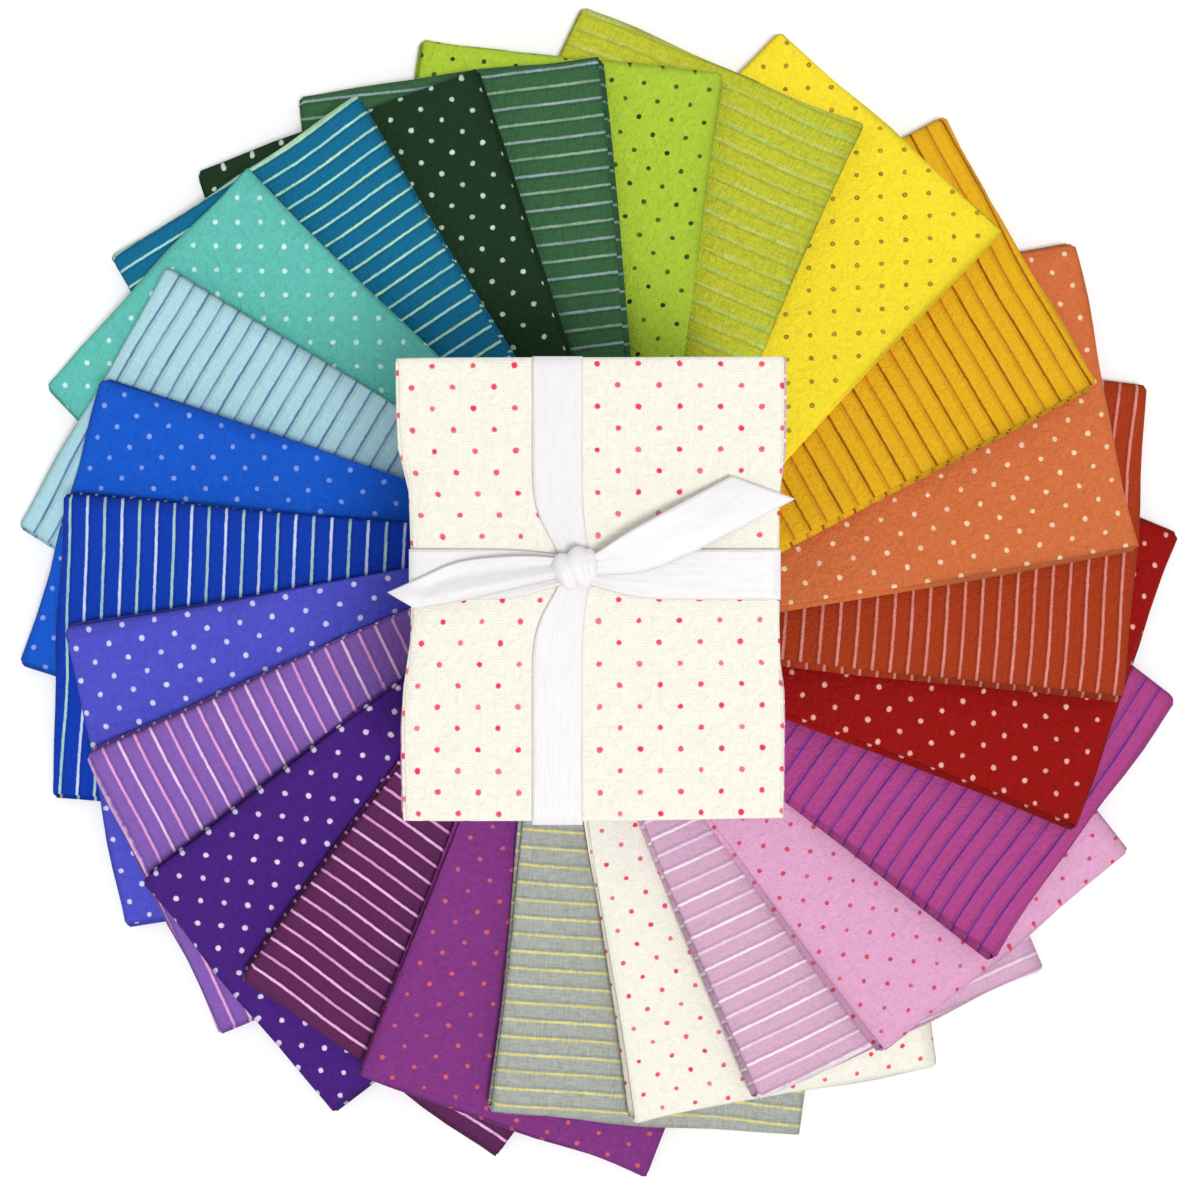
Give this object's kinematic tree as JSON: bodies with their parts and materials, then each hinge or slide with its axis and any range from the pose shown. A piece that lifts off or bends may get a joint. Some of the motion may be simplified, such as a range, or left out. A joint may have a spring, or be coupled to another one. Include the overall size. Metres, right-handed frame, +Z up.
{
  "type": "fat quarter bundle",
  "caption": "Ring of folded cotton fat quarters in dots and stripes, fanned out on a table, with a square stack of the same cloths on its middle, tied crosswise with a flat ribbon.",
  "frame": {"origin": "middle of the bundle's footprint, on the surface that it lies on", "axes": "+Z up, +Y to the far side of the fan (top of the picture), +X to the right"},
  "size_m": [0.4408, 0.4446, 0.1619],
  "materials": {
    "cotton_lime_dot": "plain woven printed cotton, matte",
    "cotton_lime_stripe": "plain woven printed cotton, matte",
    "cotton_yellow_dot": "plain woven printed cotton, matte",
    "cotton_gold_stripe": "plain woven printed cotton, matte",
    "cotton_orange_dot": "plain woven printed cotton, matte",
    "cotton_rust_stripe": "plain woven printed cotton, matte",
    "cotton_red_dot": "plain woven printed cotton, matte",
    "cotton_magenta_stripe": "plain woven printed cotton, matte",
    "cotton_pink_dot": "plain woven printed cotton, matte",
    "cotton_blush_stripe": "plain woven printed cotton, matte",
    "cotton_cream_dot": "plain woven printed cotton, matte",
    "cotton_grey_stripe": "plain woven printed cotton, matte",
    "cotton_orchid_dot": "plain woven printed cotton, matte",
    "cotton_plum_stripe": "plain woven printed cotton, matte",
    "cotton_violet_dot": "plain woven printed cotton, matte",
    "cotton_lavender_stripe": "plain woven printed cotton, matte",
    "cotton_iris_dot": "plain woven printed cotton, matte",
    "cotton_royal_stripe": "plain woven printed cotton, matte",
    "cotton_blue_dot": "plain woven printed cotton, matte",
    "cotton_ice_stripe": "plain woven printed cotton, matte",
    "cotton_teal_dot": "plain woven printed cotton, matte",
    "cotton_ocean_stripe": "plain woven printed cotton, matte",
    "cotton_forest_dot": "plain woven printed cotton, matte",
    "cotton_green_stripe": "plain woven printed cotton, matte",
    "ribbon_satin": "white satin, soft sheen"
  },
  "bodies": {
    "root": {"fan_lime_dot": "cotton_lime_dot", "fan_lime_stripe": "cotton_lime_stripe", "fan_yellow_dot": "cotton_yellow_dot", "fan_gold_stripe": "cotton_gold_stripe", "fan_orange_dot": "cotton_orange_dot", "fan_rust_stripe": "cotton_rust_stripe", "fan_red_dot": "cotton_red_dot", "fan_magenta_stripe": "cotton_magenta_stripe", "fan_pink_dot": "cotton_pink_dot", "fan_blush_stripe": "cotton_blush_stripe", "fan_cream_dot": "cotton_cream_dot", "fan_grey_stripe": "cotton_grey_stripe", "fan_orchid_dot": "cotton_orchid_dot", "fan_plum_stripe": "cotton_plum_stripe", "fan_violet_dot": "cotton_violet_dot", "fan_lavender_stripe": "cotton_lavender_stripe", "fan_iris_dot": "cotton_iris_dot", "fan_royal_stripe": "cotton_royal_stripe", "fan_blue_dot": "cotton_blue_dot", "fan_ice_stripe": "cotton_ice_stripe", "fan_teal_dot": "cotton_teal_dot", "fan_ocean_stripe": "cotton_ocean_stripe", "fan_forest_dot": "cotton_forest_dot", "fan_green_stripe": "cotton_green_stripe", "stack_lime_dot": "cotton_lime_dot", "stack_lime_stripe": "cotton_lime_stripe", "stack_yellow_dot": "cotton_yellow_dot", "stack_gold_stripe": "cotton_gold_stripe", "stack_orange_dot": "cotton_orange_dot", "stack_rust_stripe": "cotton_rust_stripe", "stack_red_dot": "cotton_red_dot", "stack_magenta_stripe": "cotton_magenta_stripe", "stack_pink_dot": "cotton_pink_dot", "stack_blush_stripe": "cotton_blush_stripe", "stack_cream_dot": "cotton_cream_dot", "stack_grey_stripe": "cotton_grey_stripe", "stack_orchid_dot": "cotton_orchid_dot", "stack_plum_stripe": "cotton_plum_stripe", "stack_violet_dot": "cotton_violet_dot", "stack_lavender_stripe": "cotton_lavender_stripe", "stack_iris_dot": "cotton_iris_dot", "stack_royal_stripe": "cotton_royal_stripe", "stack_blue_dot": "cotton_blue_dot", "stack_ice_stripe": "cotton_ice_stripe", "stack_teal_dot": "cotton_teal_dot", "stack_ocean_stripe": "cotton_ocean_stripe", "stack_forest_dot": "cotton_forest_dot", "stack_green_stripe": "cotton_green_stripe", "ribbon_lengthwise": "ribbon_satin", "ribbon_crosswise": "ribbon_satin", "ribbon_knot": "ribbon_satin", "ribbon_tail_left": "ribbon_satin", "ribbon_tail_right": "ribbon_satin"}
  },
  "joints": []
}
